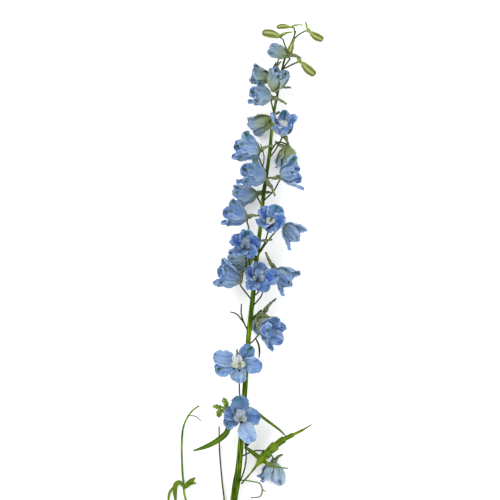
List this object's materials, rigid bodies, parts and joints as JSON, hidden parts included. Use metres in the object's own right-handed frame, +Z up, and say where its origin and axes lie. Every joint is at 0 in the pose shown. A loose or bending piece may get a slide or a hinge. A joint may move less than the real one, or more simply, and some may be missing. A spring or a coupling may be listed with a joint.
{
  "type": "delphinium flower spike",
  "caption": "Cut delphinium spike lying on its back: slender stem with open and half-open spurred blue flowers, green buds at the tip, narrow leaves and side shoots.",
  "frame": {"origin": "middle of the bottom of the bounding box, on the surface the spike lies on", "axes": "+Y along the stem from the cut end to the tip, +X across the spike, +Z up from the surface, towards the side seen in the picture"},
  "size_m": [0.1258, 0.4429, 0.0509],
  "materials": {
    "sepal": "soft satin petal, pale to mid blue with green spots near the tips",
    "bee": "matte off-white inner petals with dark anthers",
    "bud": "satin yellow-green",
    "stem": "satin green",
    "leaf": "satin green leaf"
  },
  "bodies": {
    "root": {"bee_05": "bee", "bee_09": "bee", "bee_13": "bee", "bee_15": "bee", "bee_18": "bee", "bee_21": "bee", "bee_22": "bee", "bee_23": "bee", "bloom_01": "sepal", "bloom_02": "sepal", "bloom_03": "sepal", "bloom_04": "sepal", "bloom_05": "sepal", "bloom_06": "sepal", "bloom_07": "sepal", "bloom_08": "sepal", "bloom_09": "sepal", "bloom_10": "sepal", "bloom_11": "sepal", "bloom_12": "sepal", "bloom_13": "sepal", "bloom_14": "sepal", "bloom_15": "sepal", "bloom_16": "sepal", "bloom_17": "sepal", "bloom_18": "sepal", "bloom_19": "sepal", "bloom_20": "sepal", "bloom_21": "sepal", "bloom_22": "sepal", "bloom_23": "sepal", "bloom_24": "sepal", "bud_1": "bud", "bud_2": "bud", "bud_3": "bud", "bud_4": "bud", "bud_5": "bud", "bud_cluster": "bud", "leaf_1": "leaf", "leaf_2": "leaf", "leaf_3": "leaf", "leaf_4": "leaf", "side_shoot": "stem", "stem": "stem", "thin_shoot": "stem", "twig": "stem"}
  },
  "joints": []
}
